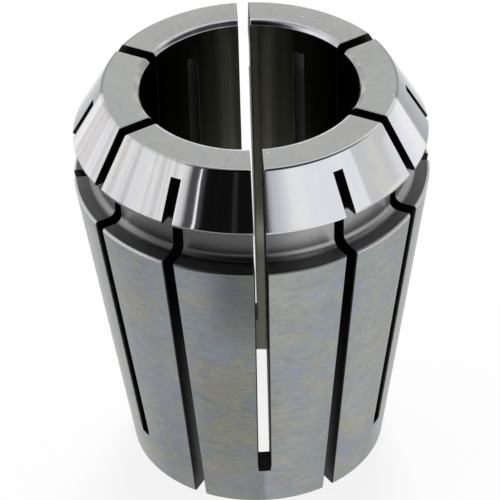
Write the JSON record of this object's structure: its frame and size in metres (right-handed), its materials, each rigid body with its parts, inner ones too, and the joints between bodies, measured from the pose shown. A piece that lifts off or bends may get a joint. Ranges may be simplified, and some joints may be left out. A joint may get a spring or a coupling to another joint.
{
  "type": "er collet",
  "caption": "Slotted one-piece spring collet with a straight bore, a tapered body, a conical nose and an extraction groove, for gripping a round tool shank in a tapered holder.",
  "frame": {"origin": "centre of the rear face, on the axis of the bore", "axes": "+Z along the bore towards the nose; -Y passes through the middle of one of the front slots"},
  "size_m": [0.033, 0.033, 0.04],
  "materials": {
    "ground_steel": "hardened spring steel, ground and polished, bare metal"
  },
  "bodies": {
    "root": {"collet": "ground_steel"}
  },
  "joints": []
}
